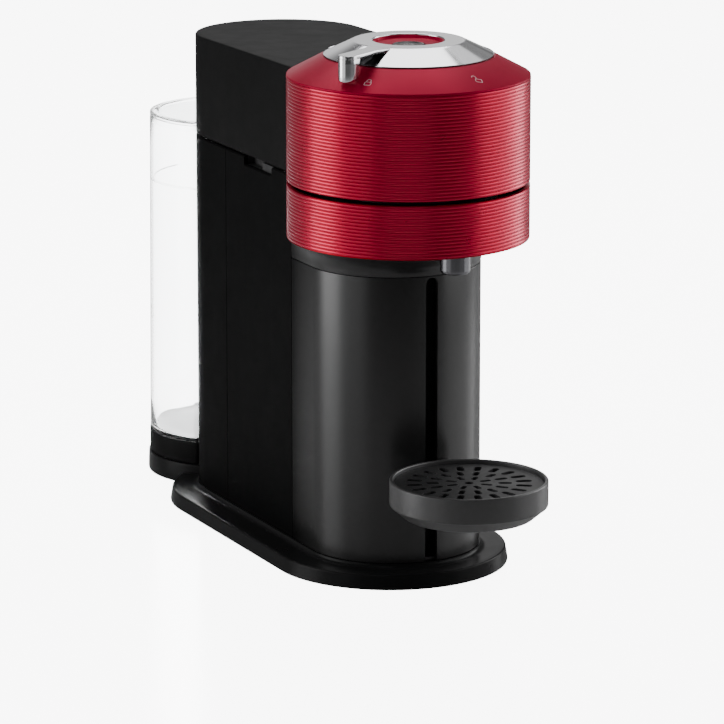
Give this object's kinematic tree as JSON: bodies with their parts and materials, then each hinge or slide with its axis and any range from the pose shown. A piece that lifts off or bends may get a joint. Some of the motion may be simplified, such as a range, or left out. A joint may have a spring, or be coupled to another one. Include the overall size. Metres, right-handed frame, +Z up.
{
  "type": "pod coffee machine",
  "caption": "Pod coffee machine with a round ribbed brewing head, locking lever, slim column with a height-adjustable cup support, flat base and clear water tank behind.",
  "frame": {"origin": "middle of the footprint, on the surface the machine stands on", "axes": "+Z up; front of the machine (spout and cup support) towards -Y; water tank towards +Y; +X is to the right of someone facing the front"},
  "size_m": [0.14, 0.4268, 0.3139],
  "materials": {
    "red_shell": "deep metallic crimson, finely ribbed",
    "black_satin": "black, semi-gloss",
    "black_matte": "black, fine grained matt",
    "base_black": "black, glossy",
    "tray_grey": "dark grey, satin",
    "chrome": "polished",
    "clear_tank": "clear plastic",
    "black_gloss": "black, gloss button",
    "seal_rubber": "soft",
    "steel": "bright",
    "aluminium": "cast",
    "inner_plastic": "plain moulded",
    "board_green": "printed board",
    "white_plastic": "plain moulded",
    "silicone": "translucent hose"
  },
  "bodies": {
    "machine": {"base_plate": "base_black", "base_cover": "black_matte", "rubber_feet": "seal_rubber", "screws": "steel", "column_front": "black_satin", "head_neck": "black_satin", "slot_liner": "black_matte", "side_panel_left": "black_satin", "side_panel_right": "black_satin", "mains_inlet": "seal_rubber", "capsule_container": "black_satin", "chassis": "inner_plastic", "top_deck": "black_matte", "capsule_chute": "black_matte", "hinge_bracket": "steel", "hinge_pins": "steel", "lower_red_band": "red_shell", "head_underside": "black_matte", "brew_chamber": "inner_plastic", "spout": "chrome", "chamber_seal": "seal_rubber", "spin_bearing": "steel", "spin_motor": "steel", "motor_mount": "steel", "pump": "white_plastic", "pump_mounts": "seal_rubber", "thermoblock": "aluminium", "flow_meter": "white_plastic", "water_hoses": "silicone", "power_board": "board_green", "control_board": "board_green", "tank_dock": "base_black", "dock_port": "inner_plastic"},
    "lid": {"upper_red_band": "red_shell", "top_cover": "black_matte", "lid_inner_plate": "black_matte", "lid_gasket": "seal_rubber", "clamp_bearing": "steel", "clamp_water_feed": "white_plastic", "lid_hinge_arms": "black_matte", "dish_ring": "red_shell", "button_base": "inner_plastic", "button_spring": "steel"},
    "clamp": {"clamp_disc": "white_plastic", "piercing_needle": "steel"},
    "lever": {"lock_lever": "chrome"},
    "button": {"start_button": "black_gloss"},
    "rotor": {"capsule_holder": "steel", "motor_shaft": "steel"},
    "cup_holder": {"cup_support": "tray_grey", "cup_carriage": "black_matte", "guide_pads": "white_plastic"},
    "pan": {"drip_pan": "black_matte"},
    "grid": {"drip_grid": "black_matte"},
    "tank": {"tank_shell": "clear_tank", "tank_base_ring": "black_matte", "tank_valve": "white_plastic", "valve_poppet": "silicone"},
    "tank_cap": {"tank_lid": "clear_tank"}
  },
  "joints": [
    {"name": "lid_hinge", "type": "hinge", "parent": "machine", "child": "lid", "pos_m": [0, 0.1281, 0.237], "axis": [-1, 0, 0], "range_deg": [0, 35]},
    {"name": "clamp_spin", "type": "hinge", "parent": "lid", "child": "clamp", "pos_m": [0, -0.0899, 0.24], "axis": [0, 0, 1], "continuous": true},
    {"name": "lever_turn", "type": "hinge", "parent": "lid", "child": "lever", "pos_m": [0, -0.0899, 0.31], "axis": [0, 0, 1], "range_deg": [0, 80]},
    {"name": "start_button_press", "type": "slide", "parent": "lid", "child": "button", "axis": [0, 0, -1], "range_m": [0, 0.0012], "stiffness_N_per_m": 700, "springref_m": -0.0008, "deforming": ["button_spring"]},
    {"name": "capsule_spin", "type": "hinge", "parent": "machine", "child": "rotor", "pos_m": [0, -0.0899, 0.21], "axis": [0, 0, 1], "continuous": true},
    {"name": "cup_support_height", "type": "slide", "parent": "machine", "child": "cup_holder", "axis": [0, 0, 1], "range_m": [-0.022, 0.06]},
    {"name": "drip_pan_lift", "type": "slide", "parent": "cup_holder", "child": "pan", "axis": [0, 0, 1], "range_m": [0, 0.02]},
    {"name": "drip_grid_lift", "type": "slide", "parent": "pan", "child": "grid", "axis": [0, 0, 1], "range_m": [0, 0.015]},
    {"name": "tank_lift", "type": "slide", "parent": "machine", "child": "tank", "axis": [0, 0, -1], "range_m": [-0.15, 0]},
    {"name": "tank_lid_lift", "type": "slide", "parent": "tank", "child": "tank_cap", "axis": [0, 0, -1], "range_m": [-0.04, 0]}
  ],
  "couplings": [
    {"joint": "clamp_spin", "follows": "capsule_spin", "ratio": 1}
  ]
}
